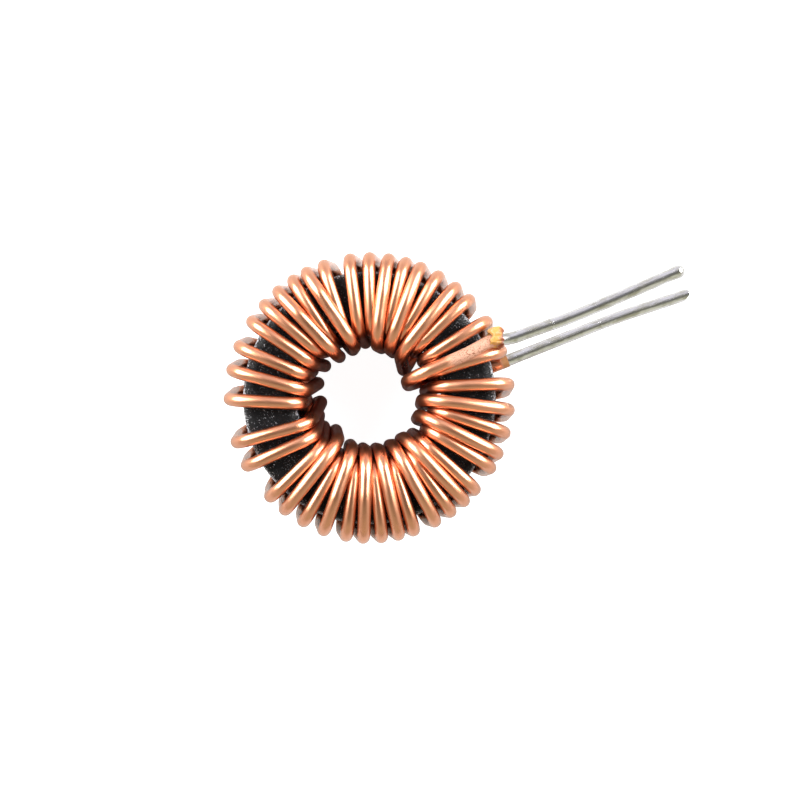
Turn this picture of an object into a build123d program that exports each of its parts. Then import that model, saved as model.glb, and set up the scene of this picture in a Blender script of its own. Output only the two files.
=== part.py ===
"""Toroidal power inductor: a coated powder ring wound by hand with one length of stiff copper wire.

The ring lies flat. Z is its axis, Z = 0 is the surface that the winding rests on, and both leads
leave along +X. Angles are in degrees, clockwise from +X as seen from above, and sizes in millimetres.
"""
from build123d import *
from math import asin, cos, degrees, pi, radians, sin, sqrt
import os

# Ring, over its coating
core_outer_diameter = 21.1
core_bore_diameter = 12.1
core_height = 7.1
core_edge_radius = 0.8

# Wire, over its enamel and where it is stripped
wire_diameter = 1.06
bare_diameter = 0.93
wire_gap = 0.02
rim_slack = 0.53
rim_bend_radius = 1.9

# Leads: where the enamel ends, how long each stripped end is, and its slight bow sideways
start_strip_past_rim = 0.68
start_lead_length = 16.2
start_lead_side = 0.99
start_bow_share = 0.62
start_bow_angles = (1.7, -1.7)
start_root_length = 1.8
start_root_bend_radius = 12.0
finish_strip_share = 0.54
finish_lead_length = 15.9
finish_bow_share = 0.36
finish_bow_angles = (-0.6, 3.4)
lead_bend_radius = 45.0

# Solder on the leads: the finish lead's end is a round drop, and the start lead's is nipped off
tin_thickness = 0.04
fit_clearance = 0.004
drop_length = 0.36
drop_rounding = 0.32
nipped_length = 0.8
nip_angle = 36.0
nip_side = 0.12

# Enamel that the solder's heat has lifted into a collar where the finish lead starts, thicker
# above and on the side away from the start lead
collar_length = 1.15
collar_past_strip = 0.12
collar_thickness = 0.28
collar_lift = 0.1
collar_side = 0.2
collar_edge_radius = 0.15

# Every turn as it was wound: where it crosses the rim, where it goes over the edge of the bore,
# and the layer that it lies in down the bore, 1 against the ring and 2 on top of that
turns = [
    (14, 10.5, 1), (24.5, 21, 2), (34, 30.5, 1), (43, 38, 2), (49.5, 48, 1),
    (60.5, 59, 1), (67, 67.5, 2), (74, 74, 1), (81.5, 82, 2), (91, 89.5, 1),
    (97.5, 98, 2), (104.5, 106, 1), (112, 112.5, 2), (119, 121, 1), (128.5, 127, 2),
    (137.5, 135, 1), (146.5, 144, 2), (154.5, 153, 1), (170.5, 164.5, 1), (181, 176.5, 1.2),
    (199, 194.5, 1), (211, 206, 1.25), (221, 219, 1), (232.5, 231, 1), (241, 242.5, 1),
    (249, 253, 2), (256.5, 256.5, 1), (263, 275, 2), (270.5, 269.5, 1), (281.5, 281, 1),
    (289.5, 292.3, 1), (297.5, 297, 2), (304.5, 304.5, 1), (311, 311, 2), (319, 317.5, 1),
    (327.5, 324.5, 2), (335, 333, 1), (346.5, 345, 1), (360.5, 357.5, 1), (355, 355, 2.9),
]

# How far a turn drifts round the rim, and leans round the bore, on its way down. A layer under
# the limit lies against the ring. Turns in one layer are spread apart, with a spare angle, over
# enough rounds to settle. Some passes were pulled aside or left loose, and those have their
# turn's number, lean, and layer at the lower end
rim_drift = 3.2
last_rim_drift = -1.3
bore_lean = {1: 5.0, 2: 8.0}
single_layer_limit = 1.5
spare_angle = 0.05
spread_rounds = 200
stray_passes = {
    1: (4, 2), 5: (2.5, 1), 6: (2.2, 2), 17: (18, 2.4), 18: (24, 2),
    19: (27.5, 2), 20: (30, 2.45), 22: (14, 2), 23: (7, 1), 24: (6.5, 2),
    26: (0, 2), 28: (-7, 2), 30: (6, 2), 36: (22, 2.8), 37: (1, 1),
    38: (0.5, 1), 39: (0, 1), 40: (8, 2.9),
}

# How high the upper turns ride over the first layer, in wire pitches: least of all, over the
# turns that ride right across another one on top, and underneath, where most of them do
least_rise = 0.83
rise_factor = 1.5
riding_on_top = {26: 1.39, 28: 1.07, 40: 1.02}
rise_underneath = 1.36
riding_underneath = {1: 0.9, 36: 1.77, 40: 1.6}
upper_bend_growth = 0.75

# The turn that swings across its neighbour on top of the ring
swinging_turn = 28
swing_back_from_rim = 3.92
swing_angle = 266.6
swing_bend_radius = 3.0

# The last run, which lies on the turn before it. Each of its corners has how far it is past the
# wire's line down the rim, its place to the side, its rise over the first layer, and its bend
last_run_knee = (-2.62, 0.64, 0.98, 6.0)
last_run_crest = (-0.52, 1.02, 0.30, 3.0)
last_run_root = (0.98, 0.62, 0.0, 4.0)

# Worked out from the sizes above
wire_radius = wire_diameter / 2
bare_radius = bare_diameter / 2
tin_radius = bare_radius + tin_thickness
pitch = wire_diameter + wire_gap
first_layer_radius = core_bore_diameter / 2 - wire_radius - wire_gap
rim_radius = core_outer_diameter / 2 + wire_radius + rim_slack
layer_height = core_height / 2 + wire_radius + wire_gap
edge_bend_radius = core_edge_radius + wire_radius + wire_gap
edge_start_radius = core_bore_diameter / 2 + core_edge_radius


def place(radius, angle, height):
    """The point at a radius and a clockwise angle, at a height over the ring's middle."""
    return Vector(radius * cos(radians(angle)), -radius * sin(radians(angle)), height)


def layer_radius(layer):
    """The radius of the wire's line in one layer down the bore."""
    return first_layer_radius - (layer - 1) * pitch


def nearest_layer(layer):
    """The whole layer that a turn belongs to."""
    return 1 if layer < single_layer_limit else round(layer)


def spread(angles, radius):
    """Pushes neighbours in one layer apart until the wire fits side by side."""
    least = degrees(2 * asin(pitch / 2 / radius)) + spare_angle
    spread_angles = list(angles)
    for _ in range(spread_rounds):
        for here in range(len(angles)):
            there = (here + 1) % len(angles)
            push = max(least - (spread_angles[there] - spread_angles[here]) % 360, 0) / 2
            spread_angles[here] -= push
            spread_angles[there] += push
    return spread_angles


def bore_angles():
    """Each turn's angle at the edge of the bore, with both layers spread."""
    angles = [bore for rim, bore, layer in turns]
    for layer in (1, 2):
        members = [n for n, turn in enumerate(turns) if nearest_layer(turn[2]) == layer]
        spread_angles = spread([angles[n] for n in members], layer_radius(layer))
        for n, angle in zip(members, spread_angles):
            angles[n] = angle
    return angles


def rise_on_top(number, angles):
    """How high a turn rides over the first layer where it goes over the edge of the bore."""
    layer = turns[number - 1][2]
    if number in riding_on_top:
        return riding_on_top[number] * pitch
    if nearest_layer(layer) == 1:
        return (layer - 1) * pitch
    apart = min(
        abs((angles[n] - angles[number - 1] + 180) % 360 - 180)
        for n, turn in enumerate(turns)
        if nearest_layer(turn[2]) == 1
    )
    sideways = edge_start_radius * sin(radians(min(apart, 90)))
    nested = sqrt(max(pitch**2 - sideways**2, 0))
    return max(rise_factor * nested, least_rise * pitch)


def bore_pass(number, angles):
    """The two corners of one pass through the bore, from below to above, with their bends."""
    layer = turns[number - 1][2]
    angle = angles[number - 1]
    plain_layer = min(nearest_layer(layer), 2)
    lean, layer_below = stray_passes.get(number, (bore_lean[plain_layer], plain_layer))
    rise_below = (min(layer_below, 2) - 1) * rise_underneath * pitch
    rise_below = riding_underneath.get(number, rise_below / pitch) * pitch
    rise_above = rise_on_top(number, angles)
    depth_below = min(first_layer_radius - layer_radius(layer_below), pitch)
    depth_above = min(first_layer_radius - layer_radius(layer), rise_above)
    below = place(layer_radius(layer_below), angle + lean, -layer_height - rise_below)
    above = place(layer_radius(layer), angle, layer_height + rise_above)
    bend_below = edge_bend_radius + depth_below
    bend_above = edge_bend_radius + upper_bend_growth * depth_above
    return [(below, bend_below), (above, bend_above)]


def rim_pass(number):
    """The two corners of one pass down the rim, from above to below, with their bends."""
    angle = turns[number - 1][0]
    drift = last_rim_drift if number == len(turns) - 1 else rim_drift
    above = place(rim_radius, angle, layer_height)
    below = place(rim_radius, angle + drift, -layer_height)
    return [(above, rim_bend_radius), (below, rim_bend_radius)]


def last_run_corner(past_rim, side, rise, bend):
    """One corner of the last run on top, which goes on into the finish lead."""
    return Vector(rim_radius + past_rim, side, layer_height + rise), bend


def heading(angle):
    """The level direction at a small angle to the side of +X."""
    return Vector(cos(radians(angle)), sin(radians(angle)), 0)


def last_run_corners():
    """The last run on top: over the turn before it, down beside it, and into the finish lead."""
    knee = last_run_corner(*last_run_knee)
    crest = last_run_corner(*last_run_crest)
    root = last_run_corner(*last_run_root)
    strip = crest[0] + (root[0] - crest[0]) * finish_strip_share
    return knee, crest, (strip, 0), root


def start_corners():
    """The start lead's strip line and the corner where it goes under the ring."""
    strip = Vector(rim_radius + start_strip_past_rim, -start_lead_side, -layer_height)
    root = strip - heading(start_bow_angles[0]) * start_root_length
    return (strip, 0), (root, start_root_bend_radius)


def coil_corners():
    """The corners of the enamelled wire and their bends, from one strip line to the other."""
    angles = bore_angles()
    corners = list(start_corners())
    for number in range(1, len(turns)):
        corners += bore_pass(number, angles)
        if number == swinging_turn:
            rise = rise_on_top(number, angles)
            swing = place(rim_radius - swing_back_from_rim, swing_angle, layer_height + rise)
            corners.append((swing, swing_bend_radius))
        corners += rim_pass(number)
    corners += bore_pass(len(turns), angles)
    corners += last_run_corners()[:3]
    return corners


def lead_corners(corners, length, share, angles, past_end):
    """A lead's corners: on from the last one given, along its bow, to past the wire's end."""
    first = length * share
    middle = corners[-1][0] + heading(angles[0]) * first
    end = middle + heading(angles[1]) * (length - first + past_end)
    return [*corners, (middle, lead_bend_radius), (end, 0)]


def start_lead(past_end):
    """The start lead's corners, from its strip line outwards."""
    strip = start_corners()[:1]
    return lead_corners(strip, start_lead_length, start_bow_share, start_bow_angles, past_end)


def finish_lead(past_end):
    """The finish lead's corners, from its strip line outwards."""
    strip, root = last_run_corners()[2:]
    length = finish_lead_length - (root[0] - strip[0]).length
    return lead_corners([strip, root], length, finish_bow_share, finish_bow_angles, past_end)


def sweep_round(corners, radius, mode=Mode.ADD):
    """Sweeps a round section along straight runs joined by tangent bends."""
    with BuildLine() as path:
        FilletPolyline(
            *[point for point, bend in corners],
            radius=[bend for point, bend in corners[1:-1]],
        )
    with BuildSketch(Plane(path.line @ 0, z_dir=path.line % 0)) as section:
        Circle(radius)
    sweep(section.sketch, path=path.line, mode=mode)
    return sum(edge.length for edge in path.line.edges())


# Powder ring in its epoxy coat, with rounded edges
with BuildPart() as core:
    with BuildSketch(Plane.XZ):
        with Locations(((core_outer_diameter + core_bore_diameter) / 4, 0)):
            RectangleRounded(
                (core_outer_diameter - core_bore_diameter) / 2, core_height, core_edge_radius
            )
    revolve(axis=Axis.Z)

# One length of enamelled wire, wound right round the ring, with both ends stripped
with BuildPart() as winding:
    wound_length = sweep_round(coil_corners(), wire_radius)
    start_length = sweep_round(start_lead(0), bare_radius)
    finish_length = sweep_round(finish_lead(0), bare_radius)

# Solder over the start lead, nipped off to a blunt point
with BuildPart() as start_tin:
    start_line = start_lead(nipped_length)
    sweep_round(start_line, tin_radius)
    nip_point = start_line[-1][0] + heading(start_bow_angles[1] + 90) * nip_side
    for side in (-1, 1):
        outward = heading(start_bow_angles[1] + side * (90 - nip_angle))
        split(bisect_by=Plane(nip_point, z_dir=outward), keep=Keep.BOTTOM)
    sweep_round(start_lead(0), bare_radius + fit_clearance, Mode.SUBTRACT)

# Solder over the finish lead, ending in a round drop
with BuildPart() as finish_tin:
    sweep_round(finish_lead(drop_length), tin_radius)
    fillet(finish_tin.faces().sort_by(Axis.X)[-1].edges(), drop_rounding)
    sweep_round(finish_lead(0), bare_radius + fit_clearance, Mode.SUBTRACT)

# Collar of lifted enamel round the last of the wire and the first of the solder
with BuildPart() as collar:
    knee, crest, strip, root = last_run_corners()
    along = (root[0] - crest[0]).normalized()
    collar_start = strip[0] - along * (collar_length - collar_past_strip)
    with BuildSketch(Plane(collar_start, x_dir=(0, 0, 1), z_dir=along)):
        with Locations((collar_lift, -collar_side)):
            Circle(wire_radius + collar_thickness)
    extrude(amount=collar_length)
    fillet(collar.edges(), collar_edge_radius)
    sweep_round([knee, crest, strip], wire_radius + fit_clearance, Mode.SUBTRACT)
    sweep_round(finish_lead(0), tin_radius + fit_clearance, Mode.SUBTRACT)

# All of it is raised so that the winding's lowest bends rest on Z = 0
lift = -winding.part.bounding_box().min.Z
print("ring middle at", round(lift, 4), "mm, wire", round(wound_length, 1), "mm between strip lines")
swept_volume = pi * (wire_radius**2 * wound_length + bare_radius**2 * (start_length + finish_length))
print("winding", round(winding.part.volume, 3), "mm3, section by length", round(swept_volume, 3), "mm3")

for piece in (core, winding, start_tin, finish_tin, collar):
    piece.part.move(Location((0, 0, lift)))

os.makedirs("parts", exist_ok=True)
core.part.label = "toroid_core"
export_step(core.part, "parts/toroid_core.step")
winding.part.label = "winding"
export_step(winding.part, "parts/winding.step")
start_tin.part.label = "start_lead_tinning"
export_step(start_tin.part, "parts/start_lead_tinning.step")
finish_tin.part.label = "finish_lead_tinning"
export_step(finish_tin.part, "parts/finish_lead_tinning.step")
collar.part.label = "burnt_enamel_collar"
export_step(collar.part, "parts/burnt_enamel_collar.step")
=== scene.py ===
"""A toroidal power inductor, lying flat on white under two soft lights and seen from straight above."""
from math import asin, ceil, cos, degrees, pi, radians, sin, sqrt, tan

import bpy
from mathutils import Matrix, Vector, noise


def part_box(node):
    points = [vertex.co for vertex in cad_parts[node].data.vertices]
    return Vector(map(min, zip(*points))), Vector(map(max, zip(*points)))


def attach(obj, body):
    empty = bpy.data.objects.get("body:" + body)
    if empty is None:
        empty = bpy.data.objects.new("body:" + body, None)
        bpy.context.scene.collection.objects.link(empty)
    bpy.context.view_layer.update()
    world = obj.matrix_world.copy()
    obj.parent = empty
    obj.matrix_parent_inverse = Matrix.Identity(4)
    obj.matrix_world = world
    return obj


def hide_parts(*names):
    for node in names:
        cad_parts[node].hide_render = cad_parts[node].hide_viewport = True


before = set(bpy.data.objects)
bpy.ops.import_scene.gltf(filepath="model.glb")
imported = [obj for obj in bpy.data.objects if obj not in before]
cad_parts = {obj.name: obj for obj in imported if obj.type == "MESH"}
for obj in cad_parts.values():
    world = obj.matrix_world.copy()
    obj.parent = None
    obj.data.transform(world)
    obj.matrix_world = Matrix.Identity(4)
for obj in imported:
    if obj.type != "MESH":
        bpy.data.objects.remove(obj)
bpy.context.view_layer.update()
mm = 0.001


# Camera
# A copy-stand camera straight over the part. It is turned so that the leads point up and to the
# right, and it hangs a little to one side of the ring's axis.
camera_over = Vector((2.34, -1.04, 8.6)) * mm
camera_height = 170 * mm
field_width = 66.67 * mm
image_turn = radians(-19.85)

bpy.ops.object.select_all(action="DESELECT")
bpy.ops.object.camera_add(
    location=camera_over + Vector((0, 0, camera_height)), rotation=(0, 0, image_turn)
)
camera = bpy.context.object
camera.data.lens = camera.data.sensor_width * camera_height / field_width
camera.data.clip_start = 5 * mm
bpy.context.scene.camera = camera
bpy.context.scene.view_settings.view_transform = "Standard"


# Soft lights
# A softbox stands low on each side, a little towards the head of the picture. The wire shows them
# as one soft glint or stripe each, and the dark between them is the lens and its stand.
softbox_distance = 300 * mm
softbox_elevation = radians(34)
softbox_headward = radians(28)
softbox_size = (240 * mm, 260 * mm)
softbox_power = 1.7
image_right = Vector((cos(image_turn), sin(image_turn), 0))
image_up = Vector((-sin(image_turn), cos(image_turn), 0))

for name, side in (("left_softbox", -1), ("right_softbox", 1)):
    towards = image_right * side * cos(softbox_headward) + image_up * sin(softbox_headward)
    towards = towards * cos(softbox_elevation) + Vector((0, 0, sin(softbox_elevation)))
    bpy.ops.object.light_add(
        type="AREA",
        location=camera_over + towards * softbox_distance,
        rotation=towards.to_track_quat("Z", "Y").to_euler(),
    )
    softbox = bpy.context.object
    softbox.name = name
    softbox.data.shape = "RECTANGLE"
    softbox.data.size, softbox.data.size_y = softbox_size
    softbox.data.energy = softbox_power


# Table and room
# A sheet of card runs out to a plain pale room. The lens sees both as white, with the part's faint
# shadow on the card. The room glows on both sides, round the softboxes, less at the head of the
# picture, where it is cool, and at its foot, where it is a little olive, and it is dim overhead.
card_colour = "#B2B2B2"
card_glow = 0.95
card_mirror_share = 0.03
card_width = 1.6
room_head_colour = "#DBD8DF"
room_foot_colour = "#C4C3AE"
room_side_colour = "#FFFAF0"
room_dim = 0.26
room_end_light = 1.15
room_side_light = 0.75
end_glow_from, end_glow_to = 0.2, 0.78
side_glow_from, side_glow_to = 0.3, 0.85
room_tint_fade = 0.4
seen_colour = "#FFFFFF"


def linear(colour):
    """An sRGB hex colour as linear red, green, blue and alpha."""
    parts = [int(colour[start:start + 2], 16) / 255 for start in (1, 3, 5)]
    return [c / 12.92 if c <= 0.04045 else ((c + 0.055) / 1.055) ** 2.4 for c in parts] + [1]


def add_node(tree, kind, settings={}, links={}):
    """Adds a node, sets its properties and inputs, and links other nodes' outputs to its inputs."""
    node = tree.nodes.new(kind)
    for name, value in settings.items():
        if isinstance(name, str) and name in node.bl_rna.properties:
            setattr(node, name, value)
        else:
            node.inputs[name].default_value = value
    for name, output in links.items():
        tree.links.new(output, node.inputs[name])
    return node


def new_material(name):
    """An empty material, and its tree of nodes."""
    material = bpy.data.materials.new(name)
    material.use_nodes = True
    material.node_tree.nodes.clear()
    return material, material.node_tree


card, tree = new_material("matt_card")
rays = add_node(tree, "ShaderNodeLightPath")
mirrored = add_node(
    tree, "ShaderNodeMath", {"operation": "MULTIPLY", 1: card_mirror_share},
    {0: rays.outputs["Is Glossy Ray"]},
)
seen = add_node(
    tree, "ShaderNodeMath", {"operation": "MAXIMUM"},
    {0: rays.outputs["Is Camera Ray"], 1: mirrored.outputs[0]},
)
seen = add_node(
    tree, "ShaderNodeMath", {"operation": "MAXIMUM"},
    {0: seen.outputs[0], 1: rays.outputs["Is Transmission Ray"]},
)
strength = add_node(
    tree, "ShaderNodeMath", {"operation": "MULTIPLY", 1: card_glow}, {0: seen.outputs[0]}
)
matt = add_node(tree, "ShaderNodeBsdfDiffuse", {"Color": linear(card_colour)})
glow = add_node(tree, "ShaderNodeEmission", {}, {"Strength": strength.outputs[0]})
both = add_node(tree, "ShaderNodeAddShader", {}, {0: matt.outputs[0], 1: glow.outputs[0]})
add_node(tree, "ShaderNodeOutputMaterial", {}, {"Surface": both.outputs[0]})

bpy.ops.object.select_all(action="DESELECT")
bpy.ops.mesh.primitive_plane_add(size=card_width, location=(0, 0, 0))
table = bpy.context.object
table.name = "white_card"
table.data.materials.append(card)

room = bpy.data.worlds.new("pale_room")
bpy.context.scene.world = room
room.use_nodes = True
tree = room.node_tree
tree.nodes.clear()
rays = add_node(tree, "ShaderNodeLightPath")
direction = add_node(tree, "ShaderNodeTexCoord")
headward = add_node(
    tree, "ShaderNodeVectorMath", {"operation": "DOT_PRODUCT", 1: image_up},
    {0: direction.outputs["Generated"]},
)
sideward = add_node(
    tree, "ShaderNodeVectorMath", {"operation": "DOT_PRODUCT", 1: image_right},
    {0: direction.outputs["Generated"]},
)
sideward = add_node(tree, "ShaderNodeMath", {"operation": "ABSOLUTE"}, {0: sideward.outputs["Value"]})
head_share = add_node(
    tree, "ShaderNodeMapRange",
    {"interpolation_type": "SMOOTHSTEP", "From Min": -room_tint_fade, "From Max": room_tint_fade},
    {"Value": headward.outputs["Value"]},
)
side_share = add_node(
    tree, "ShaderNodeMapRange",
    {"interpolation_type": "SMOOTHSTEP", "From Min": side_glow_from, "From Max": side_glow_to},
    {"Value": sideward.outputs[0]},
)
endward = add_node(tree, "ShaderNodeMath", {"operation": "ABSOLUTE"}, {0: headward.outputs["Value"]})
end_light = add_node(
    tree, "ShaderNodeMapRange",
    {"interpolation_type": "SMOOTHSTEP", "From Min": end_glow_from, "From Max": end_glow_to,
     "To Min": room_dim, "To Max": room_end_light},
    {"Value": endward.outputs[0]},
)
walls = add_node(
    tree, "ShaderNodeMix",
    {"data_type": "RGBA", 6: linear(room_foot_colour), 7: linear(room_head_colour)},
    {0: head_share.outputs[0]},
)
walls = add_node(
    tree, "ShaderNodeMix", {"data_type": "RGBA", 7: linear(room_side_colour)},
    {0: side_share.outputs[0], 6: walls.outputs[2]},
)
walls = add_node(
    tree, "ShaderNodeMix", {"data_type": "RGBA", 7: linear(seen_colour)},
    {0: rays.outputs["Is Camera Ray"], 6: walls.outputs[2]},
)
strength = add_node(
    tree, "ShaderNodeMapRange", {"To Max": room_side_light},
    {"Value": side_share.outputs[0], "To Min": end_light.outputs[0]},
)
strength = add_node(
    tree, "ShaderNodeMix", {3: 1.0}, {0: rays.outputs["Is Camera Ray"], 2: strength.outputs[0]}
)
glow = add_node(
    tree, "ShaderNodeBackground", {}, {"Color": walls.outputs[2], "Strength": strength.outputs[0]}
)
add_node(tree, "ShaderNodeOutputWorld", {}, {"Surface": glow.outputs[0]})


# Core
# A ring of pressed metal powder, dipped in black epoxy powder and baked. The coat rounds its
# edges and comes out rough, with a fine grain. The pale flecks along the rounded edges are painted
# glints, where the grain would catch the lights.
core_outer_diameter = 21.1 * mm
core_bore_diameter = 12.1 * mm
core_height = 7.1 * mm
core_edge_radius = 0.8 * mm
coat_ripple = 0.03 * mm
coat_ripple_pitch = 0.9 * mm
section_cuts = 13
core_steps = 320
core_weld_distance = 0.01 * mm
core_low, core_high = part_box("toroid_core")
core_middle = (core_low.z + core_high.z) / 2


def finish_mesh(piece, body, node):
    """Lets a finished piece ride on its body and in place of its node in the CAD."""
    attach(piece, body)
    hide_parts(node)


bpy.ops.object.select_all(action="DESELECT")
section_middle = (core_outer_diameter + core_bore_diameter) / 4
half_width = (core_outer_diameter - core_bore_diameter) / 4
half_height = core_height / 2
bpy.ops.mesh.primitive_plane_add(
    size=1, location=(section_middle, 0, core_middle), rotation=(pi / 2, 0, 0)
)
core = bpy.context.object
core.name = "core_with_epoxy_coat"
core.scale = ((core_outer_diameter - core_bore_diameter) / 2, core_height, 1)
bpy.ops.object.transform_apply(location=True, rotation=True, scale=True)
bpy.ops.object.mode_set(mode="EDIT")
bpy.ops.mesh.select_all(action="SELECT")
bpy.ops.mesh.subdivide(number_cuts=section_cuts)
bpy.ops.mesh.select_all(action="DESELECT")
bpy.ops.mesh.select_non_manifold()
bpy.ops.mesh.select_all(action="INVERT")
bpy.ops.mesh.delete(type="VERT")
bpy.ops.object.mode_set(mode="OBJECT")
for vertex in core.data.vertices:
    across = vertex.co.x - section_middle
    up = vertex.co.z - core_middle
    inner_across = max(-half_width + core_edge_radius, min(half_width - core_edge_radius, across))
    inner_up = max(-half_height + core_edge_radius, min(half_height - core_edge_radius, up))
    out = Vector((across - inner_across, 0, up - inner_up))
    if out.length > 0:
        out = out.normalized() * core_edge_radius
    vertex.co = Vector((section_middle + inner_across, 0, core_middle + inner_up)) + out
bpy.ops.object.mode_set(mode="EDIT")
bpy.ops.mesh.select_all(action="SELECT")
bpy.ops.mesh.spin(steps=core_steps, angle=2 * pi, center=(0, 0, core_middle), axis=(0, 0, 1))
bpy.ops.mesh.select_all(action="SELECT")
bpy.ops.mesh.remove_doubles(threshold=core_weld_distance)
bpy.ops.mesh.normals_make_consistent(inside=False)
bpy.ops.object.mode_set(mode="OBJECT")
outwards = [vertex.normal.copy() for vertex in core.data.vertices]
for vertex, outward in zip(core.data.vertices, outwards):
    ripple = noise.noise(vertex.co / coat_ripple_pitch)
    vertex.co += outward * coat_ripple * (ripple - 0.5)
bpy.ops.object.shade_smooth()

# Baked epoxy: near black and half matt, pitted by its grain. Its pale flecks are painted glints:
# they thicken, and fade again, at these depths below the level of the ring's face, on the rounded
# edge where the lights would catch, and come in crowds
coat_colour = "#050507"
painted_glint_colour = "#C4C6CC"
coat_grain_size = 0.13 * mm
coat_pit_depth = 0.05 * mm
glints_start, glints_full = 1.3 * mm, 0.6 * mm
glints_fade, glints_end = 0.5 * mm, 0.03 * mm
glint_crowd_size = 0.9 * mm
edge_weight, crowd_weight = 0.19, 0.22
glint_from, glint_to = 0.73, 0.88

epoxy, tree = new_material("baked_epoxy_powder")
place = add_node(tree, "ShaderNodeTexCoord")
grain = add_node(
    tree, "ShaderNodeTexNoise", {"Scale": 1 / coat_grain_size, "Detail": 3, "Roughness": 0.6},
    {"Vector": place.outputs["Object"]},
)
crowds = add_node(
    tree, "ShaderNodeTexNoise", {"Scale": 1 / glint_crowd_size, "Detail": 2},
    {"Vector": place.outputs["Object"]},
)
parts = add_node(tree, "ShaderNodeSeparateXYZ", {}, {0: place.outputs["Object"]})
height = add_node(
    tree, "ShaderNodeMath", {"operation": "SUBTRACT", 1: core_middle}, {0: parts.outputs["Z"]}
)
height = add_node(tree, "ShaderNodeMath", {"operation": "ABSOLUTE"}, {0: height.outputs[0]})
on_edge = add_node(
    tree, "ShaderNodeMapRange",
    {"interpolation_type": "SMOOTHSTEP", "From Min": half_height - glints_fade,
     "From Max": half_height - glints_end, "To Min": 1.0, "To Max": 0.0},
    {"Value": height.outputs[0]},
)
off_wall = add_node(
    tree, "ShaderNodeMapRange",
    {"interpolation_type": "SMOOTHSTEP", "From Min": half_height - glints_start,
     "From Max": half_height - glints_full},
    {"Value": height.outputs[0]},
)
on_edge = add_node(
    tree, "ShaderNodeMath", {"operation": "MULTIPLY"}, {0: on_edge.outputs[0], 1: off_wall.outputs[0]}
)
chance = add_node(
    tree, "ShaderNodeMath", {"operation": "MULTIPLY_ADD", 1: edge_weight},
    {0: on_edge.outputs[0], 2: grain.outputs["Fac"]},
)
chance = add_node(
    tree, "ShaderNodeMath", {"operation": "MULTIPLY_ADD", 1: crowd_weight},
    {0: crowds.outputs["Fac"], 2: chance.outputs[0]},
)
# Painted glints: pale flecks of colour where the grain on the rounded edges would catch the lights
painted_glints = add_node(
    tree, "ShaderNodeMapRange", {"From Min": glint_from, "From Max": glint_to},
    {"Value": chance.outputs[0]},
)
colour = add_node(
    tree, "ShaderNodeMix", {"data_type": "RGBA", 6: linear(coat_colour), 7: linear(painted_glint_colour)},
    {0: painted_glints.outputs[0]},
)
pits = add_node(
    tree, "ShaderNodeBump", {"Strength": 1, "Distance": coat_pit_depth},
    {"Height": grain.outputs["Fac"]},
)
surface = add_node(
    tree, "ShaderNodeBsdfPrincipled",
    {"Roughness": 0.38, "IOR": 1.5, "Specular IOR Level": 0.17},
    {"Base Color": colour.outputs[2], "Normal": pits.outputs[0]},
)
add_node(tree, "ShaderNodeOutputMaterial", {}, {"Surface": surface.outputs[0]})
core.data.materials.append(epoxy)
finish_mesh(core, "root", "toroid_core")


# Winding
# One length of stiff copper wire in clear amber enamel, wound by hand in two rough layers. Each
# turn is pulled tight over the ring's edges and springs out a little at the rim.
wire_diameter = 1.06 * mm
bare_diameter = 0.93 * mm
wire_gap = 0.02 * mm
rim_slack = 0.53 * mm
rim_bend_radius = 1.3 * mm
start_strip_past_rim = 0.68 * mm
start_lead_length = 16.2 * mm
start_lead_side = 0.99 * mm
start_bow_share = 0.62
start_bow_angles = (1.7, -1.7)
start_root_length = 1.8 * mm
start_root_bend_radius = 12 * mm
finish_strip_share = 0.54
finish_lead_length = 15.9 * mm
finish_bow_share = 0.36
finish_bow_angles = (-0.6, 3.4)
lead_bend_radius = 45 * mm

# Every turn: its angle at the rim, its angle over the edge of the bore, and its layer
turns = [
    (14, 10.5, 1), (24.5, 21, 2), (34, 30.5, 1), (43, 38, 2), (49.5, 48, 1),
    (60.5, 59, 1), (67, 67.5, 2), (74, 74, 1), (81.5, 82, 2), (91, 89.5, 1),
    (97.5, 98, 2), (104.5, 106, 1), (112, 112.5, 2), (119, 121, 1), (128.5, 127, 2),
    (137.5, 135, 1), (146.5, 144, 2), (154.5, 153, 1), (170.5, 164.5, 1), (181, 176.5, 1.2),
    (199, 194.5, 1), (211, 206, 1.25), (221, 219, 1), (232.5, 231, 1), (241, 242.5, 1),
    (249, 253, 2), (256.5, 256.5, 1), (263, 275, 2), (270.5, 269.5, 1), (281.5, 281, 1),
    (289.5, 292.3, 1), (297.5, 297, 2), (304.5, 304.5, 1), (311, 311, 2), (319, 317.5, 1),
    (327.5, 324.5, 2), (335, 333, 1), (346.5, 345, 1), (360.5, 357.5, 1), (355, 355, 2.9),
]
# How far a turn drifts on down the rim and leans down the bore, by its layer, and the passes down
# the bore that lean another way: each one's lean, and its layer underneath
rim_drift = 3.2
last_rim_drift = -1.3
bore_lean = {1: 5.0, 2: 8.0}
stray_passes = {
    1: (4, 2), 5: (2.5, 1), 6: (2.2, 2), 17: (18, 2.4), 18: (24, 2),
    19: (27.5, 2), 20: (30, 2.45), 22: (14, 2), 23: (7, 1), 24: (6.5, 2),
    26: (0, 2), 28: (-7, 2), 30: (6, 2), 36: (22, 2.8), 37: (1, 1),
    38: (0.5, 1), 39: (0, 1), 40: (8, 2.9),
}
single_layer_limit = 1.5
spare_angle = 0.05
spread_rounds = 200
# How high turns ride over the layer under them, in pitches of the wire
least_rise = 0.83
rise_factor = 1.5
riding_on_top = {26: 1.39, 28: 1.07, 40: 1.02}
rise_underneath = 1.36
riding_underneath = {1: 0.9, 36: 1.77, 40: 1.6}
upper_bend_growth = 0.75
swinging_turn = 28
swing_back_from_rim = 3.92 * mm
swing_angle = 266.6
swing_bend_radius = 3 * mm
# The last run's corners: how far past the rim, to the side and above its layer, and the bend
last_run_knee = (-2.62 * mm, 0.64 * mm, 0.98 * mm, 6 * mm)
last_run_crest = (-0.52 * mm, 1.02 * mm, 0.30 * mm, 3 * mm)
last_run_root = (0.98 * mm, 0.62 * mm, 0, 4 * mm)

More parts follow.
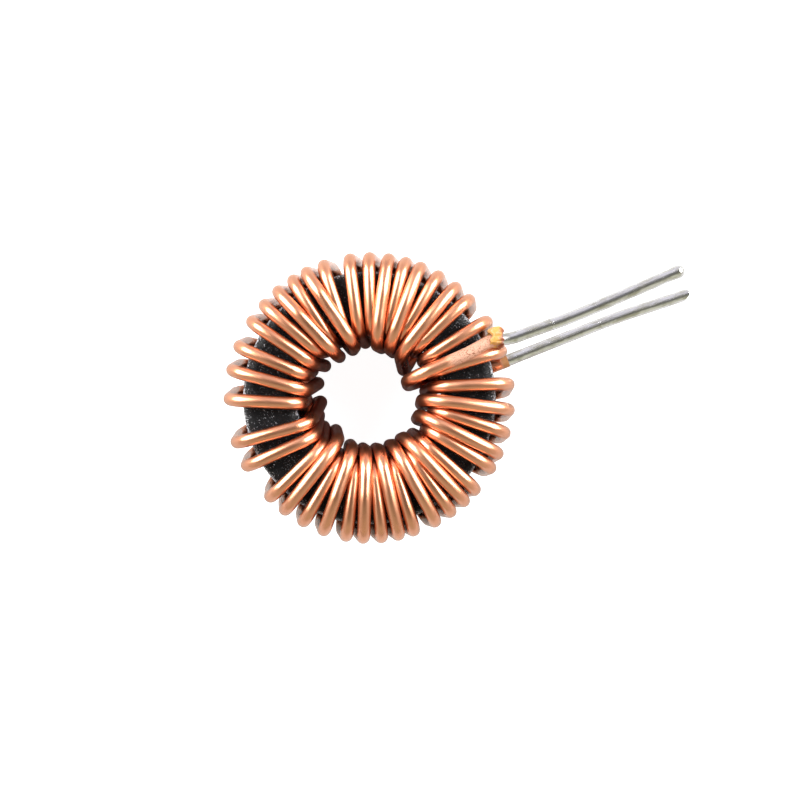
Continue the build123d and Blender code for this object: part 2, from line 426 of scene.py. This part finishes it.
wire_radius = wire_diameter / 2
bare_radius = bare_diameter / 2
pitch = wire_diameter + wire_gap
first_layer_radius = core_bore_diameter / 2 - wire_radius - wire_gap
rim_radius = core_outer_diameter / 2 + wire_radius + rim_slack
layer_height = core_height / 2 + wire_radius + wire_gap
edge_bend_radius = core_edge_radius + wire_radius + wire_gap
edge_start_radius = core_bore_diameter / 2 + core_edge_radius
weld_distance = mm / 1000
wire_smooth_below = radians(50)


def on_ring(radius, angle, height):
    """The point at a radius and a clockwise angle, at a height over the ring's middle."""
    across = radius * cos(radians(angle))
    return Vector((across, -radius * sin(radians(angle)), core_middle + height))


def layer_radius(layer):
    """The radius of the wire's line in one layer down the bore."""
    return first_layer_radius - (layer - 1) * pitch


def nearest_layer(layer):
    """The whole layer that a turn belongs to."""
    return 1 if layer < single_layer_limit else round(layer)


def spread(angles, radius):
    """Pushes neighbours in one layer apart until the wire fits side by side."""
    least = degrees(2 * asin(pitch / 2 / radius)) + spare_angle
    spread_angles = list(angles)
    for _ in range(spread_rounds):
        for here in range(len(angles)):
            there = (here + 1) % len(angles)
            push = max(least - (spread_angles[there] - spread_angles[here]) % 360, 0) / 2
            spread_angles[here] -= push
            spread_angles[there] += push
    return spread_angles


def bore_angles():
    """Each turn's angle at the edge of the bore, with both layers spread."""
    angles = [bore for rim, bore, layer in turns]
    for layer in (1, 2):
        members = [n for n, turn in enumerate(turns) if nearest_layer(turn[2]) == layer]
        spread_angles = spread([angles[n] for n in members], layer_radius(layer))
        for n, angle in zip(members, spread_angles):
            angles[n] = angle
    return angles


def rise_on_top(number, angles):
    """How high a turn rides over the first layer where it goes over the edge of the bore."""
    layer = turns[number - 1][2]
    if number in riding_on_top:
        return riding_on_top[number] * pitch
    if nearest_layer(layer) == 1:
        return (layer - 1) * pitch
    apart = min(
        abs((angles[n] - angles[number - 1] + 180) % 360 - 180)
        for n, turn in enumerate(turns)
        if nearest_layer(turn[2]) == 1
    )
    sideways = edge_start_radius * sin(radians(min(apart, 90)))
    nested = sqrt(max(pitch**2 - sideways**2, 0))
    return max(rise_factor * nested, least_rise * pitch)


def bore_pass(number, angles):
    """The two corners of one pass through the bore, from below to above, with their bends."""
    layer = turns[number - 1][2]
    angle = angles[number - 1]
    plain_layer = min(nearest_layer(layer), 2)
    lean, layer_below = stray_passes.get(number, (bore_lean[plain_layer], plain_layer))
    rise_below = (min(layer_below, 2) - 1) * rise_underneath * pitch
    rise_below = riding_underneath.get(number, rise_below / pitch) * pitch
    rise_above = rise_on_top(number, angles)
    depth_below = min(first_layer_radius - layer_radius(layer_below), pitch)
    depth_above = min(first_layer_radius - layer_radius(layer), rise_above)
    below = on_ring(layer_radius(layer_below), angle + lean, -layer_height - rise_below)
    above = on_ring(layer_radius(layer), angle, layer_height + rise_above)
    bend_below = edge_bend_radius + depth_below
    bend_above = edge_bend_radius + upper_bend_growth * depth_above
    return [(below, bend_below), (above, bend_above)]


def rim_pass(number):
    """The two corners of one pass down the rim, from above to below, with their bends."""
    angle = turns[number - 1][0]
    drift = last_rim_drift if number == len(turns) - 1 else rim_drift
    above = on_ring(rim_radius, angle, layer_height)
    below = on_ring(rim_radius, angle + drift, -layer_height)
    return [(above, rim_bend_radius), (below, rim_bend_radius)]


def last_run_corner(past_rim, side, rise, bend):
    """One corner of the last run on top, which goes on into the finish lead."""
    return Vector((rim_radius + past_rim, side, core_middle + layer_height + rise)), bend


def heading(angle):
    """The level direction at a small angle to the side of +X."""
    return Vector((cos(radians(angle)), sin(radians(angle)), 0))


def last_run_corners():
    """The last run on top: over the turn before it, down beside it, and into the finish lead."""
    knee = last_run_corner(*last_run_knee)
    crest = last_run_corner(*last_run_crest)
    root = last_run_corner(*last_run_root)
    strip = crest[0] + (root[0] - crest[0]) * finish_strip_share
    return knee, crest, (strip, 0), root


def start_corners():
    """The start lead's strip line and the corner where it goes under the ring."""
    strip = Vector(
        (rim_radius + start_strip_past_rim, -start_lead_side, core_middle - layer_height)
    )
    root = strip - heading(start_bow_angles[0]) * start_root_length
    return (strip, 0), (root, start_root_bend_radius)


def coil_corners():
    """The corners of the enamelled wire and their bends, from one strip line to the other."""
    angles = bore_angles()
    corners = list(start_corners())
    for number in range(1, len(turns)):
        corners += bore_pass(number, angles)
        if number == swinging_turn:
            rise = rise_on_top(number, angles)
            swing = on_ring(rim_radius - swing_back_from_rim, swing_angle, layer_height + rise)
            corners.append((swing, swing_bend_radius))
        corners += rim_pass(number)
    corners += bore_pass(len(turns), angles)
    corners += last_run_corners()[:3]
    return corners


def lead_corners(corners, length, share, angles, past_end):
    """A lead's corners: on from the last one given, along its bow, to past the wire's end."""
    first = length * share
    middle = corners[-1][0] + heading(angles[0]) * first
    end = middle + heading(angles[1]) * (length - first + past_end)
    return [*corners, (middle, lead_bend_radius), (end, 0)]


def start_lead(past_end):
    """The start lead's corners, from its strip line outwards."""
    strip = start_corners()[:1]
    return lead_corners(strip, start_lead_length, start_bow_share, start_bow_angles, past_end)


def finish_lead(past_end):
    """The finish lead's corners, from its strip line outwards."""
    strip, root = last_run_corners()[2:]
    length = finish_lead_length - (root[0] - strip[0]).length
    return lead_corners([strip, root], length, finish_bow_share, finish_bow_angles, past_end)


def rounded(corners, step, longest):
    """The line along corners, with each bend as an arc, as points a small step apart."""
    points = [corners[0][0]]
    for (before, _), (corner, bend), (after, _) in zip(corners, corners[1:], corners[2:]):
        back = (before - corner).normalized()
        onward = (after - corner).normalized()
        turned = pi - back.angle(onward)
        reach = bend * tan(turned / 2)
        centre = corner + (back + onward).normalized() * bend / cos(turned / 2)
        first = corner + back * reach - centre
        last = corner + onward * reach - centre
        steps = max(ceil(turned / step), 1)
        arc = [
            centre + (first * sin((1 - n / steps) * turned) + last * sin(n / steps * turned))
            / sin(turned)
            for n in range(steps + 1)
        ]
        points += run_between(points[-1], arc[0], longest) + arc
    return points + run_between(points[-1], corners[-1][0], longest) + [corners[-1][0]]


def run_between(start, end, longest):
    """The points that divide a straight run into equal steps, without its ends."""
    steps = max(ceil((end - start).length / longest), 1)
    return [start.lerp(end, n / steps) for n in range(1, steps)]


def wire_along(name, points, radii, sides):
    """A round wire drawn along points, as a mesh that also holds each vertex's place on the
    wire as if it were straight: how far along it is, and where across the section."""
    bpy.ops.object.select_all(action="DESELECT")
    bpy.ops.curve.primitive_nurbs_path_add()
    wire = bpy.context.object
    wire.name = name
    wire.data.splines.clear()
    spline = wire.data.splines.new("POLY")
    spline.points.add(len(points) - 1)
    for knot, point, radius in zip(spline.points, points, radii):
        knot.co = (*point, 1)
        knot.radius = radius / mm
    wire.data.dimensions = "3D"
    wire.data.bevel_depth = mm
    wire.data.bevel_resolution = sides // 2 - 2
    wire.data.use_fill_caps = True
    bpy.ops.object.convert(target="MESH")

    along = [0]
    for before, after in zip(points, points[1:]):
        along.append(along[-1] + (after - before).length)
    places = []
    for number in range(len(wire.data.vertices)):
        ring = number // sides
        if ring >= len(points):
            ring = 0 if number < (len(points) + 1) * sides else len(points) - 1
        angle = 2 * pi * (number % sides) / sides
        places += [along[ring], radii[ring] * cos(angle), radii[ring] * sin(angle)]
    attribute = wire.data.attributes.new("wire_place", "FLOAT_VECTOR", "POINT")
    attribute.data.foreach_set("vector", places)

    bpy.ops.object.mode_set(mode="EDIT")
    bpy.ops.mesh.select_all(action="SELECT")
    bpy.ops.mesh.remove_doubles(threshold=weld_distance)
    bpy.ops.mesh.normals_make_consistent(inside=False)
    bpy.ops.object.mode_set(mode="OBJECT")
    bpy.ops.object.shade_smooth_by_angle(angle=wire_smooth_below)
    return wire


# Pulled over both edges, each run on top but the last springs up in an arch, where the model's
# height leaves room. The wire fills the gap that the model leaves between neighbours, and stays in
# the model's box
arch_height = 0.6 * mm
arch_middle = 8.55 * mm
arch_reach_out = 3.06 * mm
arch_reach_in = 4.25 * mm
arch_fall_in = 1.5
arched_above = core_high.z - 1 * mm
gap_taken_up = 1.2
coil_bend_step = radians(7)
coil_step = 0.4 * mm
coil_sides = 24
drawn_radius = wire_radius + gap_taken_up * wire_gap
winding_low, winding_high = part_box("winding")
highest_line = winding_high.z - drawn_radius
coil_points = rounded(coil_corners(), coil_bend_step, coil_step)
arched = coil_points[:]
while arched[-1].z > core_middle:
    arched.pop()
for point in arched:
    away = point.xy.length - arch_middle
    if away > 0:
        share = max(0, 1 - (away / arch_reach_out) ** 2)
    else:
        share = max(0, 1 - (away / arch_reach_in) ** 2) ** arch_fall_in
    if point.z > arched_above:
        room_above = max(0, highest_line - point.z)
        point.z += arch_height * share * min(1, room_above / arch_height)
winding = wire_along("winding_wire", coil_points, [drawn_radius] * len(coil_points), coil_sides)
for vertex in winding.data.vertices:
    for axis in range(3):
        vertex.co[axis] = max(winding_low[axis], min(winding_high[axis], vertex.co[axis]))
wound_length = sum((after - before).length for before, after in zip(coil_points, coil_points[1:]))

# Bright copper under a clear amber enamel: satin, a little mottled from handling, with faint lines
# from the die along it, drawn coarse enough to show. Where the last run was scraped before it was
# tinned, the enamel is a dull pinkish powder with brown grains, and it is baked tan where the start
# lead comes out. Down the bore, where the turns shade one another, painted shade makes the wire a
# deeper, duller red and takes away most of the enamel's gloss
copper_colour, copper_light_colour = "#DA9E80", "#E8B69C"
bore_shade_colour = "#A04A2A"
powder_colour, powder_grain_colour = "#C0917A", "#7C4A2C"
baked_colour = "#B07C4C"
amber_tint = "#FFE8D2"
scraped_from, scraped_to = wound_length - 4.4 * mm, wound_length - 0.7 * mm
scrape_fade = 1.1 * mm
ragged_reach = 1.6 * mm
end_scrape = 0.75
stub_length = 1.35 * mm
die_line_pitch, die_line_depth = 0.09 * mm, 0.006 * mm
mottle_size = 1.4 * mm
dent_size, dent_depth = 2.2 * mm, 0.05 * mm
die_line_stretch, mottle_stretch = (0.06, 1, 1), (0.45, 1, 1)
# Where the painted shade down the bore starts and ends, how far it reaches above and below the rim, and
# how much enamel gloss it takes away
bore_shade_from, bore_shade_to = 5.5 * mm, 6.4 * mm
bore_shade_depth = 1.1 * mm
bore_shade_coat_cut = 0.75
grain_size, grain_depth = 0.1 * mm, 0.05 * mm
grain_from, grain_to = 0.53, 0.64
enamel_gloss, enamel_satin, powder_roughness = 0.26, 0.36, 0.6

enamel, tree = new_material("enamelled_copper_wire")
place = add_node(tree, "ShaderNodeAttribute", {"attribute_name": "wire_place"})
drawn_out = add_node(
    tree, "ShaderNodeVectorMath", {"operation": "MULTIPLY", 1: die_line_stretch},
    {0: place.outputs["Vector"]},
)
die_lines = add_node(
    tree, "ShaderNodeTexNoise", {"Scale": 1 / die_line_pitch, "Detail": 2},
    {"Vector": drawn_out.outputs[0]},
)
stretched = add_node(
    tree, "ShaderNodeVectorMath", {"operation": "MULTIPLY", 1: mottle_stretch},
    {0: place.outputs["Vector"]},
)
mottle = add_node(
    tree, "ShaderNodeTexNoise", {"Scale": 1 / mottle_size, "Detail": 4, "Roughness": 0.6},
    {"Vector": stretched.outputs[0]},
)
dents = add_node(
    tree, "ShaderNodeTexNoise", {"Scale": 1 / dent_size, "Detail": 1}, {"Vector": stretched.outputs[0]}
)
grains = add_node(
    tree, "ShaderNodeTexNoise", {"Scale": 1 / grain_size, "Detail": 2, "Roughness": 0.6},
    {"Vector": place.outputs["Vector"]},
)
along = add_node(tree, "ShaderNodeSeparateXYZ", {}, {0: place.outputs["Vector"]})
ragged = add_node(
    tree, "ShaderNodeMath", {"operation": "MULTIPLY_ADD", 1: ragged_reach},
    {0: mottle.outputs["Fac"], 2: along.outputs["X"]},
)
scrape_start = add_node(
    tree, "ShaderNodeMapRange",
    {"interpolation_type": "SMOOTHSTEP", "From Min": scraped_from + ragged_reach / 2,
     "From Max": scraped_from + scrape_fade + ragged_reach / 2},
    {"Value": ragged.outputs[0]},
)
scrape_end = add_node(
    tree, "ShaderNodeMapRange",
    {"interpolation_type": "SMOOTHSTEP", "From Min": scraped_to, "From Max": scraped_to + scrape_fade,
     "To Min": 1.0, "To Max": end_scrape},
    {"Value": along.outputs["X"]},
)
scraped = add_node(
    tree, "ShaderNodeMath", {"operation": "MULTIPLY"},
    {0: scrape_start.outputs[0], 1: scrape_end.outputs[0]},
)
stub = add_node(
    tree, "ShaderNodeMapRange",
    {"interpolation_type": "SMOOTHSTEP", "From Min": stub_length, "From Max": stub_length + scrape_fade,
     "To Min": 1.0, "To Max": 0.0},
    {"Value": along.outputs["X"]},
)
dull = add_node(
    tree, "ShaderNodeMath", {"operation": "MAXIMUM"}, {0: scraped.outputs[0], 1: stub.outputs[0]}
)
grain_mask = add_node(
    tree, "ShaderNodeMapRange", {"From Min": grain_from, "From Max": grain_to},
    {"Value": grains.outputs["Fac"]},
)
copper = add_node(
    tree, "ShaderNodeMix",
    {"data_type": "RGBA", 6: linear(copper_colour), 7: linear(copper_light_colour)},
    {0: mottle.outputs["Fac"]},
)
# Painted shade down the bore: the wire's colour goes to a deeper, duller red there
position = add_node(tree, "ShaderNodeTexCoord")
from_axis = add_node(
    tree, "ShaderNodeVectorMath", {"operation": "MULTIPLY", 1: (1, 1, 0)},
    {0: position.outputs["Object"]},
)
from_axis = add_node(tree, "ShaderNodeVectorMath", {"operation": "LENGTH"}, {0: from_axis.outputs[0]})
in_bore = add_node(
    tree, "ShaderNodeMapRange",
    {"interpolation_type": "SMOOTHSTEP", "From Min": bore_shade_from, "From Max": bore_shade_to,
     "To Min": 1.0, "To Max": 0.0},
    {"Value": from_axis.outputs["Value"]},
)
position = add_node(tree, "ShaderNodeSeparateXYZ", {}, {0: position.outputs["Object"]})
below_rim = add_node(
    tree, "ShaderNodeMapRange",
    {"interpolation_type": "SMOOTHSTEP", "From Min": core_high.z - bore_shade_depth,
     "From Max": core_high.z + bore_shade_depth, "To Min": 1.0, "To Max": 0.0},
    {"Value": position.outputs["Z"]},
)
shaded = add_node(
    tree, "ShaderNodeMath", {"operation": "MULTIPLY"}, {0: in_bore.outputs[0], 1: below_rim.outputs[0]}
)
copper = add_node(
    tree, "ShaderNodeMix", {"data_type": "RGBA", 7: linear(bore_shade_colour)},
    {0: shaded.outputs[0], 6: copper.outputs[2]},
)
powder = add_node(
    tree, "ShaderNodeMix",
    {"data_type": "RGBA", 6: linear(powder_colour), 7: linear(powder_grain_colour)},
    {0: grain_mask.outputs[0]},
)
powder = add_node(
    tree, "ShaderNodeMix", {"data_type": "RGBA", 7: linear(baked_colour)},
    {0: stub.outputs[0], 6: powder.outputs[2]},
)
colour = add_node(
    tree, "ShaderNodeMix", {"data_type": "RGBA"},
    {0: dull.outputs[0], 6: copper.outputs[2], 7: powder.outputs[2]},
)
metal = add_node(
    tree, "ShaderNodeMapRange", {"To Min": 1.0, "To Max": 0.12}, {"Value": dull.outputs[0]}
)
satin = add_node(
    tree, "ShaderNodeMapRange",
    {"From Min": 0.3, "From Max": 0.7, "To Min": enamel_gloss, "To Max": enamel_satin},
    {"Value": mottle.outputs["Fac"]},
)
roughness = add_node(
    tree, "ShaderNodeMix", {3: powder_roughness}, {0: dull.outputs[0], 2: satin.outputs[0]}
)
bumps = add_node(
    tree, "ShaderNodeBump", {"Strength": 0.6, "Distance": dent_depth},
    {"Height": dents.outputs["Fac"]},
)
bumps = add_node(
    tree, "ShaderNodeBump", {"Strength": 0.35, "Distance": die_line_depth},
    {"Height": die_lines.outputs["Fac"], "Normal": bumps.outputs[0]},
)
rough_patch = add_node(
    tree, "ShaderNodeMath", {"operation": "MULTIPLY"},
    {0: grains.outputs["Fac"], 1: dull.outputs[0]},
)
bumps = add_node(
    tree, "ShaderNodeBump", {"Strength": 0.9, "Distance": grain_depth},
    {"Height": rough_patch.outputs[0], "Normal": bumps.outputs[0]},
)
# The enamel's gloss goes where the wire was scraped, and painted shade cuts most of it down the bore
bare_or_shaded = add_node(
    tree, "ShaderNodeMath", {"operation": "MULTIPLY_ADD", 1: bore_shade_coat_cut},
    {0: shaded.outputs[0], 2: dull.outputs[0]},
)
clear = add_node(
    tree, "ShaderNodeMapRange", {"To Min": 0.9, "To Max": 0.0}, {"Value": bare_or_shaded.outputs[0]}
)
surface = add_node(
    tree, "ShaderNodeBsdfPrincipled",
    {"Coat Roughness": 0.14, "Coat IOR": 1.5, "Coat Tint": linear(amber_tint)},
    {
        "Coat Weight": clear.outputs[0],
        "Base Color": colour.outputs[2], "Metallic": metal.outputs[0],
        "Roughness": roughness.outputs[0], "Normal": bumps.outputs[0],
    },
)
add_node(tree, "ShaderNodeOutputMaterial", {}, {"Surface": surface.outputs[0]})
winding.data.materials.append(enamel)
finish_mesh(winding, "root", "winding")


# Tinning
# Both stripped ends were dipped in solder. It ran along the wire in low lumps, ended in a round
# drop on the finish lead, and was nipped off to a blunt point with the start lead.
tin_thickness = 0.04 * mm
tin_radius = bare_radius + tin_thickness
tin_lump = 0.022 * mm
tin_lump_length = 1.3 * mm
tin_ripple = 0.007 * mm
tin_ripple_size = 0.35 * mm
tin_sides = 32
lump_noise_row = (0.3, 0.7)
lead_bend_step = radians(1)
lead_step = 0.15 * mm
drop_length = 0.36 * mm
drop_radius = 0.55 * mm
drop_neck = 0.9 * mm
drop_fine_reach = drop_radius + 0.3 * mm
drop_fine_steps = 22
drop_least_radius = 0.01 * mm
nipped_length = 0.8 * mm
nip_angle = 36
nip_side = 0.12 * mm
nip_smooth_below = radians(35)


def tinned(name, points, tip_radius):
    """A lead's solder along points: uneven, and rounded off at its end where a radius is given."""
    left = [0]
    for before, after in zip(points[::-1], points[-2::-1]):
        left.append(left[-1] + (after - before).length)
    left.reverse()
    radii = []
    for from_end in left:
        radius = tin_radius + tin_lump * noise.noise((from_end / tin_lump_length, *lump_noise_row))
        if tip_radius:
            swell = max(0, 1 - max(0, from_end - tip_radius) / drop_neck)
            radius += (tip_radius - radius) * swell**2 * (3 - 2 * swell)
            if from_end < tip_radius:
                radius = sqrt(max(tip_radius**2 - (tip_radius - from_end) ** 2, 0))
                radius += drop_least_radius
        radii.append(radius)
    lead = wire_along(name, points, radii, tin_sides)
    outwards = [vertex.normal.copy() for vertex in lead.data.vertices]
    for vertex, outward in zip(lead.data.vertices, outwards):
        vertex.co += outward * tin_ripple * noise.noise(vertex.co / tin_ripple_size)
    return lead


def finer_end(points, reach, steps):
    """The same line with its last stretch divided more and more finely towards the end."""
    end = points[-1]
    kept = [point for point in points if (point - end).length > reach]
    start = kept[-1]
    fine = [start.lerp(end, sin(n / steps * pi / 2)) for n in range(1, steps + 1)]
    return kept + fine


start_points = rounded(start_lead(nipped_length), lead_bend_step, lead_step)
start_tin = tinned("start_lead_solder", start_points, 0)
nip_point = start_points[-1] + heading(start_bow_angles[1] + 90) * nip_side
for side in (-1, 1):
    outward = heading(start_bow_angles[1] + side * (90 - nip_angle))
    bpy.ops.object.mode_set(mode="EDIT")
    bpy.ops.mesh.select_all(action="SELECT")
    bpy.ops.mesh.bisect(
        plane_co=nip_point, plane_no=outward, use_fill=True, clear_outer=True,
        threshold=weld_distance,
    )
    bpy.ops.object.mode_set(mode="OBJECT")
bpy.ops.object.shade_smooth_by_angle(angle=nip_smooth_below)

finish_points = rounded(finish_lead(drop_length), lead_bend_step, lead_step)
finish_points = finer_end(finish_points, drop_fine_reach, drop_fine_steps)
finish_tin = tinned("finish_lead_solder", finish_points, drop_radius)

# Solder cooled in the air: pale grey and bright, with duller, slightly olive patches drawn out
# along the lead, and faint pits
solder_colour = "#ECECEE"
patch_colour = "#BDBBAE"
patch_stretch = (0.35, 1, 1)
patch_size = 0.5 * mm
patch_from, patch_to = 0.42, 0.66
solder_roughness, patch_roughness = 0.14, 0.24
solder_pit_size, solder_pit_depth = 0.24 * mm, 0.022 * mm

solder, tree = new_material("hand_tinned_solder")
place = add_node(tree, "ShaderNodeAttribute", {"attribute_name": "wire_place"})
stretched = add_node(
    tree, "ShaderNodeVectorMath", {"operation": "MULTIPLY", 1: patch_stretch},
    {0: place.outputs["Vector"]},
)
patches = add_node(
    tree, "ShaderNodeTexNoise", {"Scale": 1 / patch_size, "Detail": 5, "Roughness": 0.65},
    {"Vector": stretched.outputs[0]},
)
patch_mask = add_node(
    tree, "ShaderNodeMapRange", {"From Min": patch_from, "From Max": patch_to},
    {"Value": patches.outputs["Fac"]},
)
colour = add_node(
    tree, "ShaderNodeMix", {"data_type": "RGBA", 6: linear(solder_colour), 7: linear(patch_colour)},
    {0: patch_mask.outputs[0]},
)
roughness = add_node(
    tree, "ShaderNodeMapRange", {"To Min": solder_roughness, "To Max": patch_roughness},
    {"Value": patch_mask.outputs[0]},
)
pits = add_node(
    tree, "ShaderNodeTexNoise", {"Scale": 1 / solder_pit_size, "Detail": 4, "Roughness": 0.7},
    {"Vector": stretched.outputs[0]},
)
bumps = add_node(
    tree, "ShaderNodeBump", {"Strength": 0.9, "Distance": solder_pit_depth},
    {"Height": pits.outputs["Fac"]},
)
surface = add_node(
    tree, "ShaderNodeBsdfPrincipled", {"Metallic": 1},
    {
        "Base Color": colour.outputs[2], "Roughness": roughness.outputs[0],
        "Normal": bumps.outputs[0],
    },
)
add_node(tree, "ShaderNodeOutputMaterial", {}, {"Surface": surface.outputs[0]})
start_tin.data.materials.append(solder)
finish_tin.data.materials.append(solder)
finish_mesh(start_tin, "root", "start_lead_tinning")
finish_mesh(finish_tin, "root", "finish_lead_tinning")


# Burnt enamel
# The solder's heat lifted the enamel at the strip line into a brittle, ragged collar. It stands up
# in a flap on the side away from the start lead, and it is burnt most at the end near the solder.
collar_length = 1.15 * mm
collar_past_strip = 0.12 * mm
collar_thickness = 0.28 * mm
collar_lift = 0.1 * mm
collar_side = 0.2 * mm
collar_clearance = 0.004 * mm
flap_height = 0.12 * mm
flap_narrowness = 3
flap_back = 0.2
crust_least = 0.03 * mm
crust_lump = 0.17 * mm
crust_lump_size = 0.4 * mm
crust_grit = 0.09 * mm
crust_grit_size = 0.14 * mm
lip_ragged = 0.24 * mm
lip_wave = 0.35
far_lip_row = 5
section_squareness = 0.75

crest, strip, root = last_run_corners()[1:]
run_along = (root[0] - crest[0]).normalized()
collar_middle = strip[0] + run_along * (collar_past_strip - collar_length / 2)
collar_offset = Vector((0, collar_side, collar_lift))
flap_direction = collar_offset.normalized()
section_radius = collar_thickness / 2
inner_radius = wire_radius + collar_clearance

bpy.ops.object.select_all(action="DESELECT")
bpy.ops.mesh.primitive_torus_add(
    major_segments=112, minor_segments=36, major_radius=inner_radius + section_radius,
    minor_radius=section_radius, location=collar_middle,
    rotation=run_along.to_track_quat("Z", "Y").to_euler(),
)
collar = bpy.context.object
collar.name = "burnt_enamel_crust"
bpy.ops.object.transform_apply(location=True, rotation=True, scale=True)
crust_places = []
for vertex in collar.data.vertices:
    from_middle = vertex.co - collar_middle
    lengthwise = from_middle.dot(run_along)
    outward = from_middle - run_along * lengthwise
    across = (outward.length - inner_radius - section_radius) / section_radius
    outward.normalize()
    lengthwise = lengthwise / section_radius
    lengthwise = abs(lengthwise) ** section_squareness * (1 if lengthwise > 0 else -1)
    height = abs(across) ** section_squareness * (1 if across > 0 else -1)
    height = (height + 1) / 2
    flap = max(0, outward.dot(flap_direction)) ** flap_narrowness
    flap *= max(0, 1 - (lengthwise + flap_back) ** 2)
    thickness = collar_thickness + outward.dot(collar_offset) + flap_height * flap
    thickness += crust_lump * noise.noise(vertex.co / crust_lump_size)
    thickness += crust_grit * noise.noise(vertex.co / crust_grit_size)
    lip_row = Vector((0, 0, far_lip_row * (lengthwise > 0)))
    lip = lip_ragged * noise.noise(outward / lip_wave + lip_row)
    vertex.co = (
        collar_middle
        + run_along * lengthwise * (collar_length / 2 + lip * abs(lengthwise) ** 2)
        + outward * (inner_radius + max(thickness, crust_least) * height)
    )
    crust_places += [lengthwise, outward.dot(flap_direction), 0]
attribute = collar.data.attributes.new("crust_place", "FLOAT_VECTOR", "POINT")
attribute.data.foreach_set("vector", crust_places)
bpy.ops.object.mode_set(mode="EDIT")
bpy.ops.mesh.select_all(action="SELECT")
bpy.ops.mesh.normals_make_consistent(inside=False)
bpy.ops.object.mode_set(mode="OBJECT")
bpy.ops.object.shade_smooth()

# Half-burnt enamel: a tan yellow crust that goes to dark brown near the solder, with patches of a
# pinkish bloom
crust_colour, burnt_colour = "#C08E48", "#7A340C"
bloom_colour = "#D2A890"
cloud_size, cloud_depth = 0.35 * mm, 0.05 * mm
end_heat, flap_heat = 0.55, -0.25
burnt_from, burnt_to = 0.3, 0.8
bloom_from, bloom_to, most_bloom = 0.5, 0.72, 0.8

crust, tree = new_material("heat_lifted_enamel")
place = add_node(tree, "ShaderNodeAttribute", {"attribute_name": "crust_place"})
parts = add_node(tree, "ShaderNodeSeparateXYZ", {}, {0: place.outputs["Vector"]})
position = add_node(tree, "ShaderNodeTexCoord")
cloud = add_node(
    tree, "ShaderNodeTexNoise", {"Scale": 1 / cloud_size, "Detail": 4, "Roughness": 0.65},
    {"Vector": position.outputs["Object"]},
)
heat = add_node(
    tree, "ShaderNodeMath", {"operation": "MULTIPLY_ADD", 1: end_heat},
    {0: parts.outputs["X"], 2: cloud.outputs["Fac"]},
)
heat = add_node(
    tree, "ShaderNodeMath", {"operation": "MULTIPLY_ADD", 1: flap_heat},
    {0: parts.outputs["Y"], 2: heat.outputs[0]},
)
burnt = add_node(
    tree, "ShaderNodeMapRange",
    {"interpolation_type": "SMOOTHSTEP", "From Min": burnt_from, "From Max": burnt_to},
    {"Value": heat.outputs[0]},
)
colour = add_node(
    tree, "ShaderNodeMix", {"data_type": "RGBA", 6: linear(crust_colour), 7: linear(burnt_colour)},
    {0: burnt.outputs[0]},
)
bloom = add_node(
    tree, "ShaderNodeMapRange",
    {"interpolation_type": "SMOOTHSTEP", "From Min": bloom_from, "From Max": bloom_to,
     "To Max": most_bloom},
    {"Value": cloud.outputs["Fac"]},
)
colour = add_node(
    tree, "ShaderNodeMix", {"data_type": "RGBA", 7: linear(bloom_colour)},
    {0: bloom.outputs[0], 6: colour.outputs[2]},
)
bumps = add_node(
    tree, "ShaderNodeBump", {"Strength": 0.8, "Distance": cloud_depth},
    {"Height": cloud.outputs["Fac"]},
)
surface = add_node(
    tree, "ShaderNodeBsdfPrincipled", {"Roughness": 0.35, "IOR": 1.5},
    {"Base Color": colour.outputs[2], "Normal": bumps.outputs[0]},
)
add_node(tree, "ShaderNodeOutputMaterial", {}, {"Surface": surface.outputs[0]})
collar.data.materials.append(crust)
finish_mesh(collar, "root", "burnt_enamel_collar")
